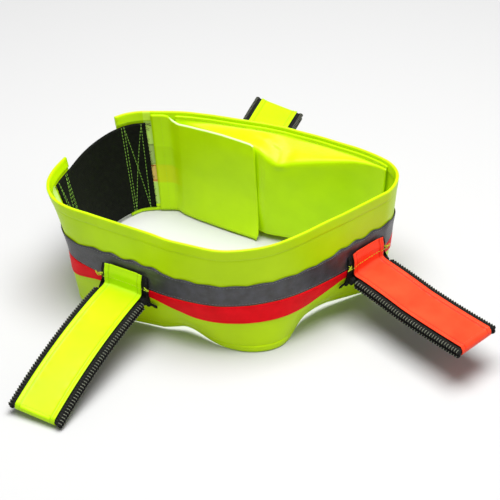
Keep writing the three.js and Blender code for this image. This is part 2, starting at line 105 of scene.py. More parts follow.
rimSamples = np.linspace(0, 1, 1201)
rimPoints = closedCurve(stand[:, :2], rimSamples, True)
rimLengths = np.append(0, np.cumsum(np.linalg.norm(np.diff(rimPoints, axis=0), axis=1)))
planScale = ringLength / rimLengths[-1]
levels = np.array(belt["levels"], float)


def leanAt(v, knee, foot):
    above = knee * (belt["height"] - v) / (belt["height"] - belt["kneeHeight"])
    below = np.clip((belt["kneeHeight"] - v) / belt["kneeHeight"], 0, None)
    return np.where(v >= belt["kneeHeight"], above, knee + (foot - knee) * below ** belt["kneePower"])


def wallAt(s, v, out):
    t = np.interp((s / ringLength) % 1, rimLengths / rimLengths[-1], rimSamples)
    rim = closedCurve(stand[:, :2], t, True) * planScale
    along = closedCurve(stand[:, :2], t + 1e-4, True) - closedCurve(stand[:, :2], t - 1e-4, True)
    along /= np.linalg.norm(along, axis=-1)[..., None]
    outward = np.stack([along[..., 1], -along[..., 0]], -1)
    knee, foot = np.moveaxis(closedCurve(stand[:, 2:], t, False), -1, 0)
    leans = leanAt(levels, knee[..., None], foot[..., None])
    drops = np.sqrt(np.diff(levels) ** 2 - np.diff(leans, axis=-1) ** 2)
    heights = belt["height"] - np.cumsum(drops[..., ::-1], axis=-1)[..., ::-1]
    heights = np.concatenate([heights, np.full(heights.shape[:-1] + (1,), belt["height"])], -1)
    cell = np.clip(np.searchsorted(levels, v, side="right") - 1, 0, len(levels) - 2)
    share = (v - levels[cell]) / (levels[cell + 1] - levels[cell])
    low = np.take_along_axis(heights, cell[..., None], -1)[..., 0]
    high = np.take_along_axis(heights, cell[..., None] + 1, -1)[..., 0]
    slope = (leanAt(v - 1, knee, foot) - leanAt(v + 1, knee, foot)) / 2
    level = np.sqrt(1 - slope**2) * out - leanAt(v, knee, foot)
    plan = rim + outward * level[..., None]
    return np.stack([plan[..., 0], plan[..., 1], low + (high - low) * share - slope * out], -1)


def alike(*values):
    return (np.array(a, float) for a in np.broadcast_arrays(*values))


def fromTurn(s):
    # places on the front length as negative ones, back from the rear length's start
    return np.where(s > ringLength - belt["frontLength"], s - ringLength, s)


def onBand(s, v, out):
    s, v, out = alike(s, v, out)
    s = fromTurn(s)
    place = wallAt(s, v, out)
    for root in belt["rootPlaces"]:  # a tab's stiff root holds the wall straight
        start, end = root - belt["rootHalf"], root + belt["rootHalf"]
        held = (s > start) & (s < end)
        if held.any():
            share = ((s[held] - start) / (end - start))[:, None]
            low = wallAt(np.full(held.sum(), float(start)), v[held], out[held])
            high = wallAt(np.full(held.sum(), float(end)), v[held], out[held])
            place[held] = low + (high - low) * share
    return place


tapeFace, tapeThickness = belt["cloth"] + 0.3, 0.4
turnPlace = np.array(joints["band_turn"]["pos_m"]) * 1000
shift = turnPlace - onBand(belt["turnAt"], belt["height"], tapeFace + tapeThickness)


def smooth(x, low, high):
    t = np.clip((np.asarray(x, float) - low) / (high - low), 0, 1)
    return t * t * (3 - 2 * t)


def calm(s):
    # nought at the tabs' stiff roots, one in the free cloth
    s = fromTurn(s)
    free = np.ones_like(s)
    for root in belt["rootPlaces"]:
        free = free * smooth(np.abs(s - root), belt["rootHalf"], belt["rootHalf"] + belt["calmFade"])
    return free


def ripple(s, v):
    # the soft unevenness of sewn cloth, the same for every layer
    slow = 0.42 * np.sin(s / 13.7 + 0.9 * np.sin(v / 31)) + 0.3 * np.sin(s / 7.3 - v / 44 + 1.2)
    edge = smooth(np.abs(v - 58), 34, 58)
    return calm(s) * (0.35 * slow + 0.5 * slow * edge)


# How far the rear end's foot is drawn along, by place.
drawn = {"at": (285, 316, 345, 372, 420, 470, 491), "by": (0, 7, 8, 13, 9, 3, 0)}


def onCloth(s, v, out):
    # the elastic draws the foot of the band's rear end along with it
    s, v, out = alike(s, v, out)
    place = onBand(s, v, out + ripple(s, v))
    place[..., 0] += np.interp(s % ringLength, drawn["at"], drawn["by"]) * (1 - v / belt["height"])
    return (place + shift) / 1000


# Mesh helpers.
def finishMesh(name, points, faces, coords, material):
    # coords: for each point its place on the cloth in mm, and 1 on the side that faces the wearer
    mesh = bpy.data.meshes.new(name)
    mesh.from_pydata([tuple(p) for p in points], [], faces)
    cloth = mesh.attributes.new("cloth", "FLOAT_VECTOR", "POINT")
    cloth.data.foreach_set("vector", np.asarray(coords, np.float32).ravel())
    bm = bmesh.new()
    bm.from_mesh(mesh)
    bmesh.ops.recalc_face_normals(bm, faces=bm.faces)
    bm.to_mesh(mesh)
    bm.free()
    mesh.polygons.foreach_set("use_smooth", [True] * len(mesh.polygons))
    mesh.materials.append(material)
    piece = bpy.data.objects.new(name, mesh)
    scene.collection.objects.link(piece)
    return piece


def sweep(name, along, section, place, material, side=None):
    # a closed body: the section's ring of (across, out) points carried along
    rings = np.array([section(a) for a in along], float)
    count, size = rings.shape[:2]
    a = np.repeat(np.asarray(along, float)[:, None], size, 1)
    points = place(a, rings[..., 0], rings[..., 1]).reshape(-1, 3)
    inner = np.zeros_like(a) if side is None else np.repeat(np.asarray(side, float)[None], count, 0)
    coords = np.stack([a, rings[..., 0], inner], -1).reshape(-1, 3)
    faces = [
        (i * size + j, i * size + (j + 1) % size, (i + 1) * size + (j + 1) % size, (i + 1) * size + j)
        for i in range(count - 1) for j in range(size)
    ]
    half = size // 2
    for first in (0, (count - 1) * size):
        for k in range(half - 1):
            faces.append((first + k, first + k + 1, first + size - 2 - k, first + size - 1 - k))
    return finishMesh(name, points, faces, coords, material)


def panel(name, points, coords, thickness, material):
    # a sheet of cloth from its middle surface, rows by columns
    rows, columns = points.shape[:2]
    faces = [
        (i * columns + j, i * columns + j + 1, (i + 1) * columns + j + 1, (i + 1) * columns + j)
        for i in range(rows - 1) for j in range(columns - 1)
    ]
    piece = finishMesh(name, points.reshape(-1, 3), faces, coords.reshape(-1, 3), material)
    thick = piece.modifiers.new("thickness", "SOLIDIFY")
    thick.thickness = thickness / 1000
    thick.offset = 0
    thick.use_even_offset = False
    return settle(piece)


def settle(piece):
    # the evaluated shape as a plain mesh
    scene.view_layers[0].update()
    depsgraph = bpy.context.evaluated_depsgraph_get()
    mesh = bpy.data.meshes.new_from_object(piece.evaluated_get(depsgraph), depsgraph=depsgraph)
    piece.modifiers.clear()
    piece.data = mesh
    mesh.name = piece.name
    mesh.polygons.foreach_set("use_smooth", [True] * len(mesh.polygons))
    return piece


def steps(start, end, pitch):
    return np.linspace(start, end, max(2, int(round(abs(end - start) / pitch)) + 1))


# Materials.
def linear(red, green, blue):
    return tuple((c / 255 / 12.92 if c < 10.3 else ((c / 255 + 0.055) / 1.055) ** 2.4)
                 for c in (red, green, blue)) + (1,)


def link(tree, source, target):
    tree.links.new(source, target)


def mathNode(tree, operation, first, second=None):
    node = tree.nodes.new("ShaderNodeMath")
    node.operation = operation
    for socket, value in zip(node.inputs, (first, second)):
        if value is None:
            continue
        if isinstance(value, (int, float)):
            socket.default_value = value
        else:
            link(tree, value, socket)
    return node.outputs[0]


def times(tree, first, second):
    return mathNode(tree, "MULTIPLY", first, second)


def plus(tree, first, second):
    return mathNode(tree, "ADD", first, second)


def split(tree, vector):
    node = tree.nodes.new("ShaderNodeSeparateXYZ")
    link(tree, vector, node.inputs[0])
    return node.outputs


def fineNoise(tree, scale, detail):
    node = tree.nodes.new("ShaderNodeTexNoise")
    node.inputs["Scale"].default_value = scale
    node.inputs["Detail"].default_value = detail
    return node


def group(name, inputs, outputs, kind="ShaderNodeTree"):
    tree = bpy.data.node_groups.new(name, kind)
    for label, kind, value in inputs:
        socket = tree.interface.new_socket(label, in_out="INPUT", socket_type=kind)
        if value is not None:
            socket.default_value = value
    for label, kind in outputs:
        tree.interface.new_socket(label, in_out="OUTPUT", socket_type=kind)
    return tree, tree.nodes.new("NodeGroupInput"), tree.nodes.new("NodeGroupOutput")


def weaveGroup():
    # the height of a plain weave: threads along and across, with slubs
    tree, given, made = group(
        "plainWeave",
        [("Place", "NodeSocketVector", None), ("Pitch", "NodeSocketFloat", 0.6),
         ("Slub", "NodeSocketFloat", 0.4)],
        [("Height", "NodeSocketFloat")],
    )
    along, across, _ = split(tree, given.outputs["Place"])
    rate = mathNode(tree, "DIVIDE", 2 * math.pi, given.outputs["Pitch"])
    warp = mathNode(tree, "SINE", times(tree, along, rate))
    weft = mathNode(tree, "SINE", times(tree, across, rate))
    noise = fineNoise(tree, 0.35, 3)
    link(tree, given.outputs["Place"], noise.inputs["Vector"])
    slub = times(tree, noise.outputs[0], given.outputs["Slub"])
    link(tree, plus(tree, times(tree, warp, weft), slub), made.inputs["Height"])
    return tree


def toneGroup():
    # how much lighter or darker a dyed cloth is from place to place, from nought to one
    tree, given, made = group(
        "unevenDye",
        [("Place", "NodeSocketVector", None), ("Size", "NodeSocketFloat", 30)],
        [("Tone", "NodeSocketFloat")],
    )
    scale = tree.nodes.new("ShaderNodeVectorMath")
    scale.operation = "DIVIDE"
    link(tree, given.outputs["Place"], scale.inputs[0])
    link(tree, given.outputs["Size"], scale.inputs[1])
    noise = fineNoise(tree, 1, 4)
    link(tree, scale.outputs[0], noise.inputs["Vector"])
    link(tree, noise.outputs[0], made.inputs["Tone"])
    return tree


weaveTree, toneTree = weaveGroup(), toneGroup()


def clothPlace(tree):
    # the piece's own cloth coordinates, in mm
    node = tree.nodes.new("ShaderNodeAttribute")
    node.attribute_name = "cloth"
    return node.outputs["Vector"]


def objectPlace(tree):
    node = tree.nodes.new("ShaderNodeTexCoord")
    scale = tree.nodes.new("ShaderNodeVectorMath")
    scale.operation = "SCALE"
    scale.inputs["Scale"].default_value = 1000
    link(tree, node.outputs["Object"], scale.inputs[0])
    return scale.outputs[0]


def useGroup(tree, source, **values):
    node = tree.nodes.new("ShaderNodeGroup")
    node.node_tree = source
    for label, value in values.items():
        if isinstance(value, (int, float)):
            node.inputs[label].default_value = value
        else:
            link(tree, value, node.inputs[label])
    return node.outputs[0]


def shade(tree, shader, factor, dark, light):
    # the base colour: each shade with the factor's value where it is reached
    node = tree.nodes.new("ShaderNodeValToRGB")
    link(tree, factor, node.inputs[0])
    for element, (at, colour) in zip(node.color_ramp.elements, (dark, light)):
        element.position = at
        element.color = colour
    link(tree, node.outputs[0], shader.inputs["Base Color"])
    return node.outputs[0]


def mix(tree, factor, first, second):
    node = tree.nodes.new("ShaderNodeMix")
    node.data_type = "RGBA"
    link(tree, factor, node.inputs[0])
    for socket, value in ((node.inputs[6], first), (node.inputs[7], second)):
        if isinstance(value, tuple):
            socket.default_value = value
        else:
            link(tree, value, socket)
    return node.outputs[2]


def bump(tree, shader, height, strength, distance):
    # distance in mm
    node = tree.nodes.new("ShaderNodeBump")
    node.inputs["Strength"].default_value = strength
    node.inputs["Distance"].default_value = distance / 1000
    link(tree, height, node.inputs["Height"])
    link(tree, node.outputs[0], shader.inputs["Normal"])


def plainMaterial(name, roughness, **values):
    material = bpy.data.materials.new(name)
    material.use_nodes = True
    shader = material.node_tree.nodes["Principled BSDF"]
    shader.inputs["Roughness"].default_value = roughness
    for label, value in values.items():
        shader.inputs[label.replace("_", " ")].default_value = value
    return material, material.node_tree, shader


def coatedCloth(name, light, dark, glow, roughness=0.36):
    # a coated high-visibility cloth: smooth, a little glossy, with the weave just showing; a fixed emission
    # in the glow colour is a painted glow for its fluorescent brightness
    material, tree, shader = plainMaterial(
        name, roughness, Coat_Weight=0.06, Coat_Roughness=0.3,
        Emission_Color=glow, Emission_Strength=0.07, Specular_IOR_Level=0.14,
    )
    where = clothPlace(tree)
    tone = useGroup(tree, toneTree, Place=where, Size=26)
    colour = shade(tree, shader, tone, (0.32, dark), (0.68, light))
    bump(tree, shader, useGroup(tree, weaveTree, Place=where, Pitch=0.55, Slub=2.2), 0.16, 0.12)
    link(tree, plus(tree, times(tree, tone, 0.16), roughness - 0.08), shader.inputs["Roughness"])
    return material, tree, shader, where, colour


# light and dark tones of the yellow cloth, and the colour of its painted glow
yellowShades = (linear(188, 228, 0), linear(180, 221, 0), linear(210, 226, 0))
yellowCloth = coatedCloth("yellowCloth", *yellowShades)[0]


def band(tree, value, low, high, soft=0.6):
    # one between low and high, nought outside, with soft edges
    edges = []
    for start, end, before, after in ((low - soft, low, 0, 1), (high, high + soft, 1, 0)):
        node = tree.nodes.new("ShaderNodeMapRange")
        node.interpolation_type = "SMOOTHSTEP"
        for label, number in (("From Min", start), ("From Max", end), ("To Min", before), ("To Max", after)):
            node.inputs[label].default_value = number
        link(tree, value, node.inputs["Value"])
        edges.append(node.outputs[0])
    return times(tree, *edges)


def coverCloth(name, light, dark, glow, sewn):
    # a tab's cover, with painted shade darkening the groove that its sewing draws; sewn is the colour of
    # that painted shade
    material, tree, shader, where, colour = coatedCloth(name, light, dark, glow, 0.42)
    across = mathNode(tree, "ABSOLUTE", split(tree, where)[1])
    groove = times(tree, band(tree, across, 15.3, 15.8, 0.5), 0.6)
    link(tree, mix(tree, groove, colour, sewn), shader.inputs["Base Color"])
    return material


# the last colour of each cover is the painted shade in its sewn groove
coverYellow = coverCloth(
    "coverYellow", linear(186, 232, 0), linear(178, 226, 0), linear(190, 240, 0), linear(148, 190, 0))
coverOrange = coverCloth(
    "coverOrange", linear(248, 72, 38), linear(240, 60, 30), linear(255, 60, 30), linear(206, 26, 14))

# Where the band's lining stops, and where the end of its hem laps: mm along and up the cloth.
bare = {"rear": (332, 341), "front": (-372, -361), "wall": (7.5, 104.5), "lapAlong": (334, 341),
        "lapUp": (105.5, 117), "lapShare": 0.3, "edge": 0.3}
# What shows through there, each over the one before: low, high, softness and colour.
showing = (
    (55, 77, 0.6, (168, 190, 128)),
    (34, 53.5, 0.6, (240, 190, 122)),
    (52.6, 53.4, 0.4, (214, 84, 40)),
    (35, 35.8, 0.4, (220, 92, 40)),
    (77, 77.8, 0.4, (120, 150, 80)),
    (55, 55.7, 0.5, (126, 148, 96)),
    (76.4, 77.1, 0.5, (126, 148, 96)),
)


def bandCloth():
    # the band's own cloth; beside the elastic the lining stops, and the tapes show through it
    material, tree, shader, where, colour = coatedCloth("bandCloth", *yellowShades)
    (s, v, inner), edge = split(tree, where), bare["edge"]
    ends = plus(tree, band(tree, s, *bare["rear"], edge), band(tree, s, *bare["front"], edge))
    unlined = times(tree, times(tree, ends, band(tree, v, *bare["wall"], edge)), inner)
    through = linear(204, 236, 132)
    for low, high, soft, tint in showing:
        through = mix(tree, band(tree, v, low, high, soft), through, linear(*tint))
    lap = times(tree, band(tree, s, *bare["lapAlong"], edge), band(tree, v, *bare["lapUp"], edge))
    lap = times(tree, times(tree, lap, inner), bare["lapShare"])
    shown = mix(tree, lap, mix(tree, unlined, colour, through), linear(226, 250, 120))
    link(tree, shown, shader.inputs["Base Color"])
    return material


def tapeCloth(name, roughness, dark, light, patch, pitch, slub, relief, metal=0, **values):
    # patch, pitch and relief in mm; a metal share gives the soft sheen of glass-bead tape
    material, tree, shader = plainMaterial(name, roughness, **values)
    where = clothPlace(tree)
    tone = useGroup(tree, toneTree, Place=where, Size=patch)
    shade(tree, shader, tone, (0.3, dark), (0.7, light))
    if metal:
        link(tree, times(tree, tone, metal), shader.inputs["Metallic"])
    bump(tree, shader, useGroup(tree, weaveTree, Place=where, Pitch=pitch, Slub=slub), *relief)
    return material


def knittedElastic():
    # heavy woven elastic: close ribs along its length, crossed by the rubber's fine ripple
    material, tree, shader = plainMaterial("knittedElastic", 0.85, Specular_IOR_Level=0.12)
    where = clothPlace(tree)
    ribs = mathNode(tree, "SINE", times(tree, split(tree, where)[1], 2 * math.pi / 1.9))
    knit = useGroup(tree, weaveTree, Place=where, Pitch=1.3, Slub=1.2)
    height = plus(tree, times(tree, ribs, 0.6), knit)
    # the colour follows the ribs' height as painted shade: lighter on their crests, darker in the grooves,
    # over a random tone
    tone = plus(tree, times(tree, height, 0.12), useGroup(tree, toneTree, Place=where, Size=5))
    shade(tree, shader, tone, (0.25, linear(4, 5, 4)), (0.85, linear(20, 22, 18)))
    bump(tree, shader, height, 0.5, 0.35)
    return material


def wovenWebbing():
    # stiff black webbing: ribs across its length over a fine weave
    material, tree, shader = plainMaterial("wovenWebbing", 0.72, Specular_IOR_Level=0.2)
    where = clothPlace(tree)
    ribs = mathNode(tree, "SINE", times(tree, split(tree, where)[0], 2 * math.pi / 2.5))
    fine = useGroup(tree, weaveTree, Place=where, Pitch=0.9, Slub=1)
    # the colour follows the ribs' height as painted shade: lighter on their crests, darker between them,
    # over a random tone
    tone = plus(tree, times(tree, ribs, 0.15), useGroup(tree, toneTree, Place=where, Size=3))
    shade(tree, shader, tone, (0.3, linear(7, 7, 6)), (0.8, linear(34, 34, 31)))
    bump(tree, shader, plus(tree, ribs, times(tree, fine, 0.4)), 0.6, 0.4)
    return material


def sewingThread(name, light, dark):
    # twisted thread: a slanted ply, in two shades that follow its height as painted shade, darker between
    # the strands
    material, tree, shader = plainMaterial(name, 0.6, Specular_IOR_Level=0.35)
    wave = tree.nodes.new("ShaderNodeTexWave")
    wave.bands_direction = "DIAGONAL"
    wave.inputs["Scale"].default_value = 1.1
    wave.inputs["Distortion"].default_value = 1
    link(tree, objectPlace(tree), wave.inputs["Vector"])
    shade(tree, shader, wave.outputs[1], (0.2, linear(*dark)), (0.8, linear(*light)))
    bump(tree, shader, wave.outputs[1], 0.4, 0.1)
    return material


def mouldedPlastic(name, light, dark):
    material, tree, shader = plainMaterial(name, 0.45)
    tone = useGroup(tree, toneTree, Place=objectPlace(tree), Size=1.2)
    shade(tree, shader, tone, (0.3, linear(*dark)), (0.7, linear(*light)))
    bump(tree, shader, tone, 0.15, 0.1)
    return material


# Where the flap's edge is raw, and where the tapes tint it: mm along and up the cloth.
cut = {"rawUp": (111.9, 114, 0.5), "rawAlong": (216, 312, 4), "tintAlong": (318, 340, 16),
       "redUp": (36, 54, 3), "redShare": 0.2, "greyUp": (56, 76, 2), "greyShare": 0.16}


def cutCloth():
    # the flap's own cloth, its raw top edge showing the pale base cloth
    material, tree, shader, where, colour = coatedCloth("flapCloth", *yellowShades)
    s, v, _ = split(tree, where)
    raw = times(tree, band(tree, v, *cut["rawUp"]), band(tree, s, *cut["rawAlong"]))
    near = band(tree, s, *cut["tintAlong"])
    for tape, tint in (("red", (236, 130, 0)), ("grey", (120, 160, 0))):
        share = times(tree, times(tree, band(tree, v, *cut[tape + "Up"]), near), cut[tape + "Share"])
        colour = mix(tree, share, colour, linear(*tint))
    link(tree, mix(tree, raw, colour, linear(214, 246, 176)), shader.inputs["Base Color"])
    return material


shellCloth, flapCloth = bandCloth(), cutCloth()
greyTape = tapeCloth(
    "reflectiveTape", 0.42, linear(42, 41, 42), linear(70, 71, 78), 9, 0.8, 3, (0.25, 0.15), 0.35,
    Specular_IOR_Level=0.6, Coat_Weight=0.1, Coat_Roughness=0.25)
# the orange tape has a faint painted glow for its fluorescent brightness
redTape = tapeCloth(
    "orangeTape", 0.5, linear(226, 2, 18), linear(246, 8, 26), 14, 0.5, 2, (0.2, 0.12),
    Emission_Color=linear(230, 20, 25), Emission_Strength=0.04, Specular_IOR_Level=0.08)
elasticKnit, blackWebbing = knittedElastic(), wovenWebbing()
greenThread = sewingThread("greenThread", (150, 196, 84), (96, 140, 44))
yellowThread = sewingThread("yellowThread", (214, 232, 60), (176, 200, 30))
hemThread = sewingThread("hemThread", (196, 232, 10), (176, 212, 0))
coverThread = sewingThread("coverThread", (196, 236, 0), (166, 204, 0))
# pale thread for the webbing's weft picks: its light colour is painted highlight on the black yarns
weftHighlightThread = sewingThread("weftHighlightThread", (138, 142, 124), (84, 88, 74))
orangeThread = sewingThread("orangeThread", (250, 96, 56), (214, 50, 26))
paleThread = sewingThread("paleThread", (150, 152, 150), (96, 98, 100))
blackThread = sewingThread("blackThread", (30, 30, 28), (8, 8, 8))
# the bladder's cloth also carries the painted glow of the coated cloth
bladderCloth = coatedCloth(
    "bladderCloth", linear(226, 210, 60), linear(206, 188, 40), linear(200, 190, 40), 0.5)[0]
print("materials made")

# Sewn rows, made with Geometry Nodes.
sewing = {"pitch": 3.4, "size": (1.3, 0.275, 0.22), "unevenness": 0.12, "seed": 7}


def stitchTree(name):
    # a guide line becomes a row of separate thread stitches
    tree, given, made = group(
        name,
        [("Guides", "NodeSocketGeometry", None), ("Pitch", "NodeSocketFloat", 0.0034),
         ("Size", "NodeSocketVector", (0.0013, 0.0003, 0.0003)), ("Unevenness", "NodeSocketFloat", 0.1),
         ("Seed", "NodeSocketInt", 7), ("Thread", "NodeSocketMaterial", None)],
        [("Stitches", "NodeSocketGeometry")], "GeometryNodeTree",
    )
    named = {item.name: item.identifier for item in tree.interface.items_tree if item.in_out == "INPUT"}
    new = tree.nodes.new
    curve, rows = new("GeometryNodeMeshToCurve"), new("GeometryNodeResampleCurve")
    rows.mode = "LENGTH"
    tangent = new("GeometryNodeInputTangent")
    turn = new("FunctionNodeAlignRotationToVector")
    turn.axis = "X"
    upright = new("FunctionNodeAlignRotationToVector")
    upright.axis = "Z"
    upright.pivot_axis = "X"
    face = new("GeometryNodeInputNamedAttribute")
    face.data_type = "FLOAT_VECTOR"
    face.inputs["Name"].default_value = "facing"
    ball = new("GeometryNodeMeshUVSphere")
    for label, value in (("Segments", 8), ("Rings", 5), ("Radius", 1)):
        ball.inputs[label].default_value = value
    shape = new("GeometryNodeTransform")
    scatter = new("FunctionNodeRandomValue")
    scatter.data_type = "FLOAT"
    low = new("ShaderNodeMath")
    low.operation = "SUBTRACT"
    low.inputs[0].default_value = 1
    instances, real = new("GeometryNodeInstanceOnPoints"), new("GeometryNodeRealizeInstances")
    smoothed, coloured = new("GeometryNodeSetShadeSmooth"), new("GeometryNodeSetMaterial")
    for source, output, target, value in (
        (given, "Guides", curve, "Mesh"),
        (curve, "Curve", rows, "Curve"),
        (given, "Pitch", rows, "Length"),
        (rows, "Curve", instances, "Points"),
        (tangent, "Tangent", turn, "Vector"),
        (turn, "Rotation", upright, "Rotation"),
        (face, "Attribute", upright, "Vector"),
        (upright, "Rotation", instances, "Rotation"),
        (ball, "Mesh", shape, "Geometry"),
        (given, "Size", shape, "Scale"),
        (shape, "Geometry", instances, "Instance"),
        (instances, "Instances", real, "Geometry"),
        (real, "Geometry", smoothed, "Geometry"),
        (smoothed, "Geometry", coloured, "Geometry"),
        (given, "Thread", coloured, "Material"),
        (coloured, "Geometry", made, "Stitches"),
    ):
        link(tree, source.outputs[output], target.inputs[value])
    # the random value has a socket of each name for every kind of data
    scatterIn = {socket.name: socket for socket in scatter.inputs if socket.enabled}
    scatterIn["Max"].default_value = 1
    link(tree, given.outputs["Unevenness"], low.inputs[1])
    link(tree, low.outputs[0], scatterIn["Min"])
    link(tree, given.outputs["Seed"], scatterIn["Seed"])
    scattered = next(socket for socket in scatter.outputs if socket.enabled)
    link(tree, scattered, instances.inputs["Scale"])
    return tree, named


sewnRow, sewnInputs = stitchTree("sewnRow")


def guideMesh(name, rows):
    # rows: lists of (place, facing)
    mesh = bpy.data.meshes.new(name)
    points, edges, facing = [], [], []
    for row in rows:
        first = len(points)
        points += [tuple(p) for p, _ in row]
        facing += [tuple(n) for _, n in row]
        edges += [(first + i, first + i + 1) for i in range(len(row) - 1)]
    mesh.from_pydata(points, edges, [])
    attribute = mesh.attributes.new("facing", "FLOAT_VECTOR", "POINT")
    attribute.data.foreach_set("vector", np.asarray(facing, np.float32).ravel())
    piece = bpy.data.objects.new(name, mesh)
    scene.collection.objects.link(piece)
    return piece


# The way across the ring at the turn; pieces with no body of their own are baked in place.
turnAt = np.array(joints["band_turn"]["pos_m"])
elasticMiddle = onCloth(belt["rearLength"] + belt["elasticSpan"] / 2, 58.0, 0.0)
acrossRing = (elasticMiddle - turnAt)[:2]
bendWay = np.array([acrossRing[1], -acrossRing[0], 0]) / np.linalg.norm(acrossRing)
if bendWay[1] > 0:
    bendWay = -bendWay


def bendWithBelt(piece):
    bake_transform(piece)


def declare(piece, slot, nodes=(), body=None):
    # a piece's CAD parts are hidden; it is attached to its body, or with no body of its own it is baked in
    # place
    if nodes:
        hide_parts(*nodes)
    if body:
        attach(piece, body)
    else:
        bendWithBelt(piece)


def sew(name, rows, thread, slot, nodes=(), body=None, pitch=sewing["pitch"], size=sewing["size"],
        unevenness=sewing["unevenness"]):
    # pitch, and size as half a stitch's length, width and height, in mm
    piece = guideMesh(name, rows)
    row = piece.modifiers.new("stitches", "NODES")
    row.node_group = sewnRow
    row[sewnInputs["Pitch"]] = pitch / 1000
    row[sewnInputs["Size"]] = tuple(v / 1000 for v in size)
    row[sewnInputs["Unevenness"]] = unevenness
    row[sewnInputs["Seed"]] = sewing["seed"]
    row[sewnInputs["Thread"]] = thread
    declare(settle(piece), slot, nodes, body)


def rowOf(at, facing):
    return list(zip(at, facing / np.linalg.norm(facing, axis=-1)[:, None]))


def bandRow(s, v, out):
    # a sewn line on the band, from arrays of places
    s, v, out = alike(s, v, out)
    at = onCloth(s, v, out)
    return rowOf(at, onCloth(s, v, out + 1) - at)


def innerRow(s, v, out):
    # the same on the side that faces the wearer
    return [(p, -n) for p, n in bandRow(s, v, out)]


# The band.
shell = {"start": -406, "roll": 0.9, "pitch": 3.5, "rise": 3.0, "hemStep": 0.9, "hemLift": 0.35,
         "grooves": (7, 104.8), "hemEdges": (6.6, 105.2)}


def shellSection(_):
    top, cloth, lift, roll = belt["height"], belt["cloth"], shell["hemLift"], shell["roll"]
    turned = -cloth - 0.15
    inside, outside = [], []
    heights = [*steps(roll, 4.4, 1.8), *steps(5, 8.6, 0.6), *steps(11, 101, shell["rise"]),
               *steps(102.8, 107.6, 0.8), *steps(109.3, top - roll, 2.0)]
    lowEdge, highEdge = shell["hemEdges"]
    for v in heights:
        hem = float(smooth(lowEdge - v, -0.3, 0.9) + smooth(v - highEdge, -0.3, 0.9))
        groove = sum(math.exp(-((v - at) / 0.8) ** 2) for at in shell["grooves"])
        outside.append((v, cloth + lift * hem - lift * groove))
    wallFoot, wallTop = belt["footHem"], top - belt["topHem"]
    for v in heights:
        deep = max(smooth(wallFoot - v, -shell["hemStep"], 0), smooth(v - wallTop, -shell["hemStep"], 0))
        inside.append((v, turned * deep))
    middle, half = (cloth + lift + turned) / 2, (cloth + lift - turned) / 2
    lower = [(roll - roll * math.sin(a), middle + half * math.cos(a)) for a in (1.2, 0.6)]
    upper = [(top - p[0], p[1]) for p in reversed(lower)]
    outer = lower + outside + upper
    inner = [(p[0], 2 * middle - p[1]) for p in lower] + inside + [(p[0], 2 * middle - p[1]) for p in upper]
    return outer + inner[::-1]


shellSize = len(shellSection(0)) // 2
bandShell = sweep(
    "bandShell", steps(shell["start"], belt["rearLength"], shell["pitch"]), shellSection, onCloth,
    shellCloth, side=[0] * shellSize + [1] * shellSize,
)
declare(bandShell, "yellow_fabric", ("rear_band", "front_band"))
print("band made")

# The tapes.
tapes = {
    "reflectiveTape": {
        "foot": 54.4, "top": 77.4, "scallop": 1.4, "pucker": 0.6, "pitch": 22, "hump": 4.2, "tuck": 0,
        "nodes": ("rear_reflective_tape", "front_reflective_tape"), "slot": "grey_tape",
        "cloth": greyTape, "thread": paleThread,
    },
    "orangeTape": {
        "foot": 34.0, "top": 54.0, "scallop": 0.2, "pucker": 0.15, "pitch": 31, "hump": 0, "tuck": 11.5,
        "nodes": ("rear_orange_tape", "front_orange_tape"), "slot": "orange_tape",
        "cloth": redTape, "thread": redTape,
    },
}
# Beside each tab root: the places along and the heights of the humps, and where the tuck fades out.
humps, tuckFade = ((-33, 0.8), (-14, 1), (9, 1), (30, 0.8)), (24, 72)


def tapeSurface(sizes, s, share, lift=0.0):
    # the tape is gathered a little by its top row of sewing
    wave = np.abs(np.sin(math.pi * s / sizes["pitch"] + 0.4 * np.sin(s / 37)))
    free = calm(s)
    hump = 0.0
    for root in belt["rootPlaces"]:
        for at, high in humps:
            hump = hump + high * np.exp(-((s - root - at) / 8.5) ** 2)
    top = sizes["top"] - sizes["scallop"] * free * (1 - wave) * smooth(share, 0.6, 1)
    top = top + sizes["hump"] * hump * smooth(share, 0.5, 1)
    aside = [np.abs(fromTurn(s) - root) for root in belt["rootPlaces"]]
    foot = sizes["foot"] + sum(sizes["tuck"] * (1 - smooth(near, *tuckFade)) for near in aside)
    v = foot + (top - foot) * share
    puff = sizes["pucker"] * free * wave * smooth(share, 0.35, 0.9) * (1 - 0.6 * smooth(share, 0.9, 1))
    puff = puff + 0.28 * sizes["hump"] * hump * np.exp(-((share - 0.86) / 0.1) ** 2)
    return v, tapeFace + tapeThickness / 2 + 0.15 + puff + lift


sewnLine = steps(-belt["frontLength"] + 2, belt["rearLength"] - 2, 3)
for name, sizes in tapes.items():
    s, share = np.meshgrid(steps(-belt["frontLength"] + 0.4, belt["rearLength"] - 0.4, 2.2),
                           np.linspace(0, 1, 13), indexing="ij")
    v, out = tapeSurface(sizes, s, share)
    coords = np.stack([s, v, np.zeros_like(s)], -1)
    tape = panel(name, onCloth(s, v, out), coords, tapeThickness, sizes["cloth"])
    declare(tape, sizes["slot"], sizes["nodes"])
    rows = [bandRow(sewnLine, *tapeSurface(sizes, sewnLine, np.full_like(sewnLine, edge), 0.25))
            for edge in (0.07, 0.93)]
    sew(name + "Stitches", rows, sizes["thread"], sizes["slot"], pitch=3.0, size=(1.1, 0.2, 0.14))

hemRows = {"rimStitches": 107.6, "footStitches": 4.4}
for name, height in hemRows.items():
    short = name[: -len("Stitches")]
    sew(name, [bandRow(sewnLine, height, belt["cloth"] + 0.12)], hemThread, "yellow_thread",
        (f"rear_{short}_stitching", f"front_{short}_stitching"), size=(1.25, 0.26, 0.2))
print("tapes and hems sewn")

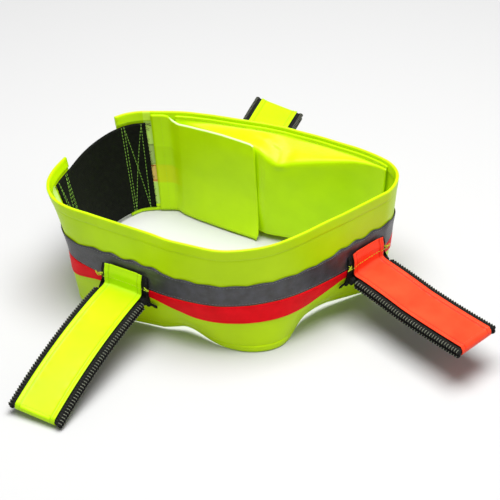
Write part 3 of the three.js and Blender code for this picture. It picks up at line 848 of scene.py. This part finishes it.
# The elastic and its boxed crosses.
elastic = {"start": 339, "end": 487.5, "foot": 4.4, "top": 102.8, "thickness": 1.5, "face": -0.35,
           "inset": 1.5, "free": (366, 466), "middle": 416}


def elasticSurface(s, v):
    fray = 0.5 * np.sin(v * 2.9) + 0.35 * np.sin(v * 7.1 + 1)
    nearEnd = 1 - smooth(np.minimum(s - elastic["start"], elastic["end"] - s), 0, 3)
    way = np.where(s < elastic["middle"], -1, 1)
    s = s + fray * nearEnd * way - 0.02 * (v - 56) * way * nearEnd
    free = smooth(np.minimum(s - elastic["free"][0], elastic["free"][1] - s), 0, 25)
    out = elastic["face"] - elastic["thickness"] / 2 + 0.5 * free * np.sin(v / 9.0 + s / 21)
    return s, v, out


s, v = np.meshgrid(steps(elastic["start"], elastic["end"], 2.2),
                   steps(elastic["foot"], elastic["top"], 2.2), indexing="ij")
backElastic = panel("backElastic", onCloth(*elasticSurface(s, v)), np.stack([s, v, 0 * s], -1),
                    elastic["thickness"], elasticKnit)
declare(backElastic, "elastic", ("back_elastic",))


def crossRows(outer, inner):
    # a box with a cross in it, its band-end side sewn twice
    low, high = elastic["foot"] + elastic["inset"], elastic["top"] - elastic["inset"]
    twin = outer + (inner - outer) * 0.14
    bars = [((outer, low), (outer, high)), ((twin, low), (twin, high)), ((inner, low), (inner, high)),
            ((twin, high), (inner, low)), ((inner, high), (twin, low))]
    rows = []
    for start, end in bars:
        share = np.linspace(0, 1, 14)
        s = start[0] + (end[0] - start[0]) * share
        v = start[1] + (end[1] - start[1]) * share
        rows.append(innerRow(s, v, elastic["face"] - elastic["thickness"] - 0.2))
    return rows


for name, outer, inner, node in (
    ("rearElasticCross", 366, 344, "rear_elastic_stitching"),
    ("frontElasticCross", 464.0, 482.5, "front_elastic_stitching"),
):
    sew(name, crossRows(outer, inner), greenThread, "green_thread", (node,), pitch=3.7,
        size=(1.6, 0.42, 0.3))

fray = np.random.default_rng(11)
rows = []
for end, way in ((elastic["start"], -1), (elastic["end"], 1)):
    low, high = elastic["foot"], elastic["top"]
    for v in (*fray.uniform(low, high, 26), low + 0.6, high - 0.6, high - 1.6):
        corner = min(v - low, high - v) < 2
        reach = np.linspace(-1, fray.uniform(4, 5.5) if corner else fray.uniform(0.6, 2.6), 6)
        drift = np.cumsum(fray.uniform(-0.5, 0.5, 6))
        rows.append(bandRow(end + way * reach, v + drift, elastic["face"] - 0.9 + 0.1 * drift))
sew("frayedEnds", rows, blackThread, "elastic", pitch=0.9, size=(0.75, 0.24, 0.24))
print("elastic made")

# The pouch.
pouch = {
    "underFlap": 309, "start": 80, "peak": 205, "end": 300, "depth": 28, "endDepth": 1.2, "seamInset": 4,
    "foot": 3.5, "cloth": 1.2, "seamAt": 109.4, "points": 72,
    "creaseAt": (80, 118, 149, 175, 186, 192, 200, 212, 230, 300),
    "creaseHeight": (107.5, 104.5, 100, 96, 92.5, 91.5, 95, 101, 103, 103),
    # a pinched crest runs down the pouch's top from the flap to its crease
    "crest": 2.6, "crestHeight": (88, 94, 100, 104, 108), "crestAt": (190, 189, 191, 203, 232),
}
pouchFace = -belt["cloth"] - 0.3


def depthAt(s):
    rise = (1 - np.cos(math.pi * (s - pouch["start"]) / (pouch["peak"] - pouch["start"]))) / 2
    fall = np.clip((pouch["end"] - s) / (pouch["end"] - pouch["peak"]), 0, 1)
    return pouch["endDepth"] + (pouch["depth"] - pouch["endDepth"]) * np.where(s < pouch["peak"], rise, fall)


def smoothLine(points, count):
    # a smooth open line through the points, even along its length
    points = np.asarray(points, float)
    padded = np.vstack([2 * points[0] - points[1], points, 2 * points[-1] - points[-2]])
    fine = []
    for i in range(len(points) - 1):
        w = np.linspace(0, 1, 12, endpoint=False)[:, None]
        p0, p1, p2, p3 = padded[i:i + 4]
        m1, m2 = (p2 - p0) / 2, (p3 - p1) / 2
        fine.append(cubic(p1, p2, m1, m2, w))
    fine = np.vstack(fine + [points[-1:]])
    length = np.append(0, np.cumsum(np.linalg.norm(np.diff(fine, axis=0), axis=1)))
    at = np.linspace(0, length[-1], count)
    return np.stack([np.interp(at, length, fine[:, k]) for k in range(fine.shape[1])], -1), length[-1]


def pouchLine(s):
    depth, middle = float(depthAt(s)), pouchFace - pouch["cloth"] / 2
    top, foot = belt["height"] - pouch["seamInset"], pouch["foot"]
    crease = float(np.interp(s, pouch["creaseAt"], pouch["creaseHeight"]))
    slack = 1.2 * math.sin(s / 17.0) + 0.8 * math.sin(s / 6.1 + 1)
    fullness = min(1.0, depth / 12)
    return [
        (top, middle), (top - 2.5, middle), (top - 4.5, middle - 0.05 * depth),
        ((top - 4.5 + crease) / 2, middle - (0.5 + 0.02 * slack) * depth * 0.95),
        (crease + 1, middle - 0.90 * depth), (crease - 2.5, middle - 0.985 * depth),
        (crease - 8, middle - depth), (crease - 18, middle - depth + 0.25 * slack * fullness),
        (58, middle - depth - 0.15 * slack * fullness), (38, middle - 0.985 * depth),
        (foot + 18, middle - 0.95 * depth), (foot + 5, middle - 0.88 * depth),
        (foot + 0.6, middle - 0.72 * depth), (foot, middle - 0.4 * depth), (foot + 0.3, middle),
    ]


along = steps(pouch["start"], pouch["underFlap"], 2.4)
lines, coords = [], []
for s in along:
    line, length = smoothLine(pouchLine(s), pouch["points"])
    lines.append(line)
    coords.append([(s, length * k / (pouch["points"] - 1), 0) for k in range(pouch["points"])])
v, out = np.moveaxis(np.array(lines), -1, 0)
s = np.repeat(along[:, None], pouch["points"], 1)
crest = np.interp(v, pouch["crestHeight"], pouch["crestAt"])
fold = -pouch["crest"] * np.exp(-((s - crest) / 4.5) ** 2) * smooth(v, 84, 94)
fold = fold * (1 - smooth(v, 104, 110))
fold = fold + 0.4 * np.sin(s / 9 + v / 40) * np.exp(-((v - 60) / 40) ** 2)
pouchPanel = panel("pouchPanel", onCloth(s, v, out + fold), np.array(coords), pouch["cloth"], yellowCloth)
declare(pouchPanel, "yellow_fabric", ("pouch_panel",))

line = steps(pouch["start"] + 2, pouch["end"] - 2, 3)
sew("pouchSeamStitches", [innerRow(line, pouch["seamAt"], pouchFace - pouch["cloth"] - 0.1)], hemThread,
    "yellow_thread", ("pouch_seam_stitching",))

flap = {
    "free": 217, "root": 316, "sewn": 333.5, "inset": 1.5, "top": 113, "reach": 27.48, "bow": 0.7,
    "cloth": 1.2, "seamAt": 323.5, "foldAt": (318.0, 308.0),
    "edgeAt": (217, 222, 235, 255, 290, 306, 312, 316.5, 320),
    "edgeDroop": (7.2, 6.2, 5.2, 4.4, 5.8, 6.6, 5.0, 1.2, 0),
}


def flapSurface(s, v):
    root = flap["root"] - 0.3
    share = np.clip((root - s) / (root - flap["free"]), 0, 1)
    soften = smooth(share, 0, 0.12)
    out = (pouchFace - flap["cloth"] / 2 - flap["reach"] * share ** flap["bow"] * soften
           - flap["reach"] * share * (1 - soften))
    wave = 0.5 * np.sin(v / 21 + 0.6) * share + 0.35 * np.sin(s / 15) * share
    curl = 1.2 * smooth(v, 96, 113) * share - 5.5 * share * np.clip(1 - v / 55, 0, 1) ** 2
    return out + wave + curl


s, v = np.meshgrid(steps(flap["free"], flap["sewn"], 2.4), steps(flap["inset"], flap["top"], 2.4),
                   indexing="ij")
droop = np.interp(s, flap["edgeAt"], flap["edgeDroop"])
sag = v - droop * np.clip((v - flap["inset"]) / (flap["top"] - flap["inset"]), 0, 1) ** 1.5
corner = smooth(flap["free"] + 6 - s, 0, 6) * smooth(flap["inset"] + 6 - v, 0, 6)
slant = -6.5 * (1 - v / flap["top"]) ** 1.2 * smooth(flap["free"] + 60 - s, 0, 60)
slant = slant + 2.5 * smooth(v, 104, flap["top"]) * smooth(flap["free"] + 8 - s, 0, 8)
pouchFlap = panel("pouchFlap", onCloth(s + 2.2 * corner + slant, sag, flapSurface(s, v)),
                  np.stack([s, v, 0 * s], -1), flap["cloth"], flapCloth)
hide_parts("pouch_flap", "flap_sewn_edge")
foldStart, foldEnd = (onCloth(at, 58.0, flapSurface(at, 58.0)) for at in flap["foldAt"])
tuple(foldStart)
tuple(foldEnd)
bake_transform(pouchFlap)

line = steps(flap["inset"] + 3, 110, 3)
sew("flapStitches", [innerRow(flap["seamAt"], line, pouchFace - flap["cloth"] - 0.1)], hemThread,
    "yellow_thread", ("flap_stitching",), "rear_belt")
print("pouch made")

# What the pouch holds.
bladder = {"start": 112, "end": 246, "foot": 20, "top": 96, "fill": 0.9, "clear": 1.2}


def bladderSection(s):
    # a rolled bladder: soft lobes where its folds lie over each other
    deep = pouchFace + bladder["clear"] - 0.3 - float(depthAt(s)) * bladder["fill"]
    deep = min(deep, -1.6)
    ends = smooth(min(s - bladder["start"], bladder["end"] - s), 0, 9)
    deep = deep * (0.35 + 0.65 * ends)
    middle, half = (bladder["foot"] + bladder["top"]) / 2, (bladder["top"] - bladder["foot"]) / 2
    back, front = [], []
    for k in range(33):
        v = middle - half + 2 * half * k / 32
        bulge = math.sqrt(max(0.0, 1 - abs((v - middle) / half) ** 4))
        lobe = 0.9 + 0.1 * abs(math.sin(3 * math.pi * (v - bladder["foot"]) / (2 * half) + s / 80))
        front.append((v, -0.3 + (deep + 0.3) * bulge * lobe))
        back.append((v, -0.3))
    return back + front[::-1]


foldedBladder = sweep("foldedBladder", steps(bladder["start"], bladder["end"], 3), bladderSection,
                      onCloth, bladderCloth)
declare(foldedBladder, "bladder", ("folded_bladder",), "rear_belt")


def dress(node, material):
    obj = frame["nodes"][node]
    obj.data.materials.clear()
    obj.data.materials.append(material)


dress("oral_inflation_tube", mouldedPlastic("blackPlastic", (40, 40, 42), (22, 22, 24)))
dress("oral_tube_cap", mouldedPlastic("redPlastic", (190, 34, 30), (160, 22, 20)))

# The grab tabs.
tabSizes = {
    "webbing": 52, "leg": 3, "foldHeight": 45, "bead": 3, "clear": 2.1, "yawReach": 60,
    "rootFoot": 36, "rootTop": 67.5, "rootHalf": 24.6, "ribPitch": 2.9, "ribSide": 24.4, "ribHigh": 2.0,
    "rootRibSide": 23.2, "cover": 40, "clothThickness": 0.7, "hem": 4.2, "sewnIn": 3.2, "sewnTip": 4.5,
    "patchTop": 70.5, "patchFoot": 51.5, "freeStart": 8.0, "wrap": 24, "tackHeight": 57, "nubHeight": 38.5,
}
tabs = [
    {
        "name": "front", "nub": -1, "s": -1, "length": 136, "root": -6, "tip": 2, "yaw": -4, "twist": 0,
        "seed": 1, "belt": "front_belt", "cloth": coverOrange, "thread": orangeThread,
        "slot": "orange_fabric",
    },
    {
        "name": "left", "nub": 1, "s": -252, "length": 149, "root": -5, "tip": -25, "yaw": 0, "twist": 5,
        "seed": 2, "belt": "front_belt", "cloth": coverYellow, "thread": coverThread,
        "slot": "yellow_fabric",
    },
    {
        "name": "back", "nub": 1, "s": 245, "length": 147, "root": 1.5, "tip": -4.5, "yaw": 1, "twist": -14,
        "seed": 3, "belt": "rear_belt", "cloth": coverYellow, "thread": coverThread,
        "slot": "yellow_fabric",
    },
]
rootFace = tapeFace + tapeThickness + 0.3
rootCover = rootFace + tabSizes["leg"] + 0.3
coverRise = tabSizes["leg"] + 0.3


def tabPlace(tab):
    joint = joints[tab["name"] + "_tab_fold"]
    fold = np.array(joint["pos_m"]) * 1000
    across = -np.array(joint["axis"])
    outward = np.array([across[1], -across[0], 0])
    root, tip, length = math.radians(tab["root"]), math.radians(tab["tip"]), tab["length"]

    def onTab(u, w, t):
        u, w, t = alike(u, w, t)
        turn = (tip - root) * u / length
        halfTurn = np.where(np.abs(turn) < 1e-9, 1e-9, turn) / 2
        chord = u * np.sin(halfTurn) / halfTurn
        roll = math.radians(tab["twist"]) * u / length
        side = w * np.cos(roll) + t * np.sin(roll)
        lift = t * np.cos(roll) - w * np.sin(roll)
        r = chord * np.cos(root + turn / 2) - lift * np.sin(root + turn)
        z = chord * np.sin(root + turn / 2) + lift * np.cos(root + turn)
        yaw = math.radians(tab["yaw"]) * np.minimum(1, u / tabSizes["yawReach"])
        way = np.stack([outward[0] * np.cos(yaw) - outward[1] * np.sin(yaw),
                        outward[0] * np.sin(yaw) + outward[1] * np.cos(yaw), 0 * yaw], -1)
        up = np.zeros(u.shape + (3,))
        up[..., 2] = z
        return (fold + way * r[..., None] + across * side[..., None] + up) / 1000

    return onTab, fold / 1000, outward


def webbingSection(_):
    # two legs of webbing, one on the other, with rounded selvedges
    half, leg, roll = tabSizes["webbing"] / 2 - 0.4, tabSizes["leg"], 1.1
    right = [(half - roll, leg), (half - 0.3 * roll, leg - 0.2 * roll), (half, leg - roll), (half, 0.9),
             (half - 0.7, 0.25)]
    upper = [(x, leg) for x in (-14, -7, 0, 7, 14)]
    top = [(-x, t) for x, t in reversed(right)] + upper + right
    return top + [(x, -t) for x, t in reversed(top)]


def coverLift(w, u, tab):
    # folded hems along the edges, and puckers where the sewing draws the cloth in
    edge = tabSizes["cover"] / 2
    hem = smooth(np.abs(w), edge - tabSizes["hem"] - 1.2, edge - tabSizes["hem"])
    groove = np.exp(-((np.abs(w) - (edge - tabSizes["sewnIn"])) / 0.9) ** 2)
    pucker = np.sin(u / 1.9 + tab["seed"]) * np.exp(-((np.abs(w) - (edge - 5.4)) / 2.4) ** 2)
    pucker = pucker * (0.6 + 0.4 * np.sin(u / 11 + 2 * tab["seed"]))
    swell = 0.35 * np.sin(u / 17 + tab["seed"]) * (1 - (w / edge) ** 2)
    return 0.95 * hem - 0.6 * groove + 0.22 * pucker + swell + 0.6


def rootSection(_):
    # the root webbing, rolled at the fold
    face, foot, top = rootFace + tabSizes["leg"], tabSizes["rootFoot"], tabSizes["rootTop"]
    outer = [(foot, face - 0.6), (foot + 0.8, face), (foot + 2.5, face), (foot + 4.2, face), (41.6, face)]
    bead, middle = tabSizes["bead"], face + tabSizes["bead"] + 0.3
    for a in np.linspace(-2.35, 2.35, 13):
        outer.append((tabSizes["foldHeight"] + bead * math.sin(a), middle + bead * math.cos(a)))
    outer += [(48.4, face), (53, face), (58, face), (62, face - 0.3), (top - 2.5, face - 1.2),
              (top, rootFace + 0.5)]
    inner = [(v, rootFace) for v in np.linspace(foot, top, len(outer))]
    return outer + inner[::-1]


def coverGrid(tab, onTab):
    # from the root patch, over the fold, along the webbing and round its tip
    edge, s0, length = tabSizes["cover"] / 2, tab["s"], tab["length"]
    w = np.concatenate([np.linspace(-edge, -edge + 6, 9), np.linspace(-edge + 7.5, edge - 7.5, 14),
                        np.linspace(edge - 6, edge, 9)])
    patchFoot, freeStart = tabSizes["patchFoot"], tabSizes["freeStart"]
    rows, along = [], []
    for v in steps(tabSizes["patchTop"], patchFoot, 1.6):
        lower = 1.7 * smooth(v, 62, 70)
        rows.append(onCloth(s0 + w, v, rootCover + coverLift(w, v, tab) - lower))
        along.append(v - 80)
    # over the fold: a smooth curve from the patch's foot to the free cover's start
    patchLift, freeLift = coverLift(w, patchFoot, tab), coverLift(w, freeStart, tab)
    top = onCloth(s0 + w, patchFoot, rootCover + patchLift)
    low = onTab(freeStart, w, coverRise + freeLift)
    down = top - onCloth(s0 + w, 58.0, rootCover + patchLift)
    ahead = low - onTab(2.0, w, coverRise + freeLift)
    for k in np.linspace(0, 1, 10)[1:-1]:
        h = (2 * k**3 - 3 * k**2 + 1, k**3 - 2 * k**2 + k, -2 * k**3 + 3 * k**2, k**3 - k**2)
        rows.append(h[0] * top + h[1] * down * 1.3 + h[2] * low + h[3] * ahead * 1.3)
        along.append(-28.5 + 36.5 * k)
    for u in steps(freeStart, length - 2.4, 2.0):
        rows.append(onTab(u, w, coverRise + coverLift(w, u, tab)))
        along.append(u)
    under = coverRise + 0.45
    for a in np.linspace(0.25, math.pi - 0.25, 8):
        rows.append(onTab(length - 2.6 + 2.4 * math.sin(a), w, under * math.cos(a)))
        along.append(length + a)
    for u in steps(length - 3, length - tabSizes["wrap"], 2.4):
        rows.append(onTab(u, w, -under))
        along.append(2 * length - u)
    along, across = np.meshgrid(along, w, indexing="ij")
    return np.array(rows), np.stack([along, across, np.zeros_like(along)], -1)


def coverRow(tab, onTab, u, w):
    at = onTab(u, w, coverRise + coverLift(w, u, tab) + 0.42)
    return rowOf(at, onTab(u, w, coverRise + 1.8) - onTab(u, w, coverRise + 0.8))


for tab in tabs:
    onTab, fold, outward = tabPlace(tab)
    name, s0, length, carrier = tab["name"], tab["s"], tab["length"], tab["belt"]
    body, ribPitch = name + "_tab", tabSizes["ribPitch"]

    # the free webbing, ribs round both selvedges of each leg, and weft picks on them in light thread: the
    # picks are real, their pale colour is painted highlight on the black yarns
    start, end = tabSizes["bead"] + tabSizes["clear"], length - 1.0
    webbing = sweep(name + "TabWebbing", steps(start, end, 2.0), webbingSection, onTab, blackWebbing)
    declare(webbing, "webbing", (name + "_tab_webbing",), body)
    line, side, high = steps(start + 2.2, end - 0.5, 2.5), tabSizes["ribSide"], tabSizes["ribHigh"]
    ribRows, pickHighlightRows = [], []
    for w in (-1, 1):
        for t in (-1, 1):
            at = onTab(line, w * side, t * high)
            ribRows.append(rowOf(at, onTab(line, w * side, t * high + t) - at))
        for middle, lean in ((high, 78), (high, 38), (-high, 12)):
            a = math.radians(lean)
            across, up = w * (side + 2.82 * math.cos(a)), middle + 2.15 * math.sin(a)
            at = onTab(line, across, up)
            pickHighlightRows.append(rowOf(at, onTab(line, across + w * math.cos(a), up + math.sin(a)) - at))
    sew(name + "TabRibs", ribRows, blackWebbing, "webbing", (), body, ribPitch, (2.1, 2.8, 2.1), 0.06)
    sew(name + "TabPickHighlights", pickHighlightRows, weftHighlightThread, "webbing", (), body, ribPitch, (0.4, 1.2, 0.28))

    # the root webbing; the front tab's lies where the belt bends
    root = sweep(name + "TabRoot", steps(s0 - tabSizes["rootHalf"], s0 + tabSizes["rootHalf"], 1.7),
                 rootSection, onCloth, blackWebbing)
    declare(root, "webbing", (name + "_tab_root",), None if name == "front" else carrier)
    line = steps(tabSizes["rootFoot"] + 1, tabSizes["rootTop"] - 6, 2.5)
    rows = [bandRow(s0 + w * tabSizes["rootRibSide"], line, rootFace + 1.8) for w in (-1, 1)]
    sew(name + "TabRootRibs", rows, blackWebbing, "webbing", (), carrier, ribPitch, (2.1, 2.3, 1.7), 0.06)

    # the cover, with two rows of sewing along it and one round its tip
    cover = panel(name + "TabCover", *coverGrid(tab, onTab), tabSizes["clothThickness"], tab["cloth"])
    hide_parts(name + "_tab_cover", name + "_tab_root_cover")
    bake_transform(cover)
    inset, tip = tabSizes["cover"] / 2 - tabSizes["sewnIn"], length - tabSizes["sewnTip"]
    rows = [coverRow(tab, onTab, steps(9.0, tip, 2.5), w * inset) for w in (-1, 1)]
    rows.append(coverRow(tab, onTab, tip, steps(-inset, inset, 2.5)))
    sew(name + "TabStitches", rows, tab["thread"], "yellow_thread", (name + "_tab_stitching",), body, 3.2,
        (1.15, 0.34, 0.24))

    # the bar tack and its loose ends
    line, tackHeight = steps(-24, 24, 2.0), tabSizes["tackHeight"]
    lift = coverLift(np.clip(line, -19.5, 19.5), tackHeight, tab)
    tack = bandRow(s0 + line, tackHeight + 0.25 * np.sin(line), rootCover + lift + 0.5)
    sew(name + "TabBarTack", [tack], yellowThread, "yellow_thread", (name + "_tab_bar_tack",), carrier, 3.3,
        (1.3, 0.34, 0.26))
    rng = np.random.default_rng(40 + tab["seed"])
    rows = []
    for side in (-1, 1):
        for _ in range(5):
            turns = np.linspace(0, rng.uniform(2.5, 6), 12)
            loop = rng.uniform(0.8, 1.8)
            reach = 23 + turns * rng.uniform(0.5, 1.6) + loop * np.sin(turns)
            drift = loop * np.cos(turns) + rng.uniform(-1.2, 1.2) + turns * rng.uniform(-0.3, 0.3)
            height = rootCover + 0.6 + 0.6 * np.sin(turns * 1.7)
            rows.append(bandRow(s0 + side * reach, tackHeight + drift, height))
    sew(name + "TabThreadEnds", rows, yellowThread, "yellow_thread", (), carrier, 0.9,
        (0.75, 0.32, 0.32), 0.1)

    # the melted end of the webbing that stands out below the fold
    reach = np.linspace(23, 31, 7)
    fall = 0.06 * (reach - 23) ** 1.5
    rows = [bandRow(s0 + tab["nub"] * reach, tabSizes["nubHeight"] + lift - fall, rootFace + 1.4)
            for lift in (-1.2, 0.0, 1.1)]
    sew(name + "TabNub", rows, blackWebbing, "webbing", (), carrier, 1.4, (1.4, 1.0, 0.9), 0.35)
print("tabs made")

# Camera, floor and light.
look = {"target": (0.0, 0.0, 0.055), "distance": 1.58, "elevation": 35, "lens": 122.4}
lookShift = Vector(tuple(shift / 1000))
elevation = math.radians(look["elevation"])
away = Vector((0, -math.cos(elevation), math.sin(elevation)))
camera = bpy.data.objects.new("camera", bpy.data.cameras.new("camera"))
camera.data.lens = look["lens"]
camera.data.sensor_width = 36
camera.location = Vector(look["target"]) + lookShift + away * look["distance"]
camera.rotation_euler = (math.pi / 2 - elevation, 0, 0)
camera.data.clip_start, camera.data.clip_end = 0.05, 30
scene.collection.objects.link(camera)
scene.camera = camera
scene.view_settings.view_transform = "Standard"

floorMesh = bpy.data.meshes.new("floor")
floorMesh.from_pydata([(-6, -6, 0), (6, -6, 0), (6, 6, 0), (-6, 6, 0)], [], [(0, 1, 2, 3)])
floor = bpy.data.objects.new("floor", floorMesh)
floor.location.z = -0.0006
floorPaint = plainMaterial("palePaper", 0.9)
floorPaint[2].inputs["Base Color"].default_value = (0.54, 0.54, 0.54, 1)
floorMesh.materials.append(floorPaint[0])
scene.collection.objects.link(floor)


def softLight(name, at, size, power):
    data = bpy.data.lights.new(name, "AREA")
    data.shape = "RECTANGLE"
    data.size, data.size_y = size
    data.energy = power
    lamp = bpy.data.objects.new(name, data)
    lamp.location = at
    lamp.rotation_euler = (Vector((0, 0, 0.05)) - Vector(at)).to_track_quat("-Z", "Y").to_euler()
    scene.collection.objects.link(lamp)


softLight("topLight", (0.05, -0.12, 1.85), (1.5, 1.1), 62)
softLight("frontFill", (-0.5, -1.7, 1.3), (1.4, 1.0), 1)
softLight("rightFill", (1.6, -0.5, 1.0), (0.8, 0.8), 2)
world = bpy.data.worlds.new("studio")
world.use_nodes = True
world.node_tree.nodes["Background"].inputs["Color"].default_value = (1, 1, 1, 1)
world.node_tree.nodes["Background"].inputs["Strength"].default_value = 0.28
scene.world = world

print("scene ready")
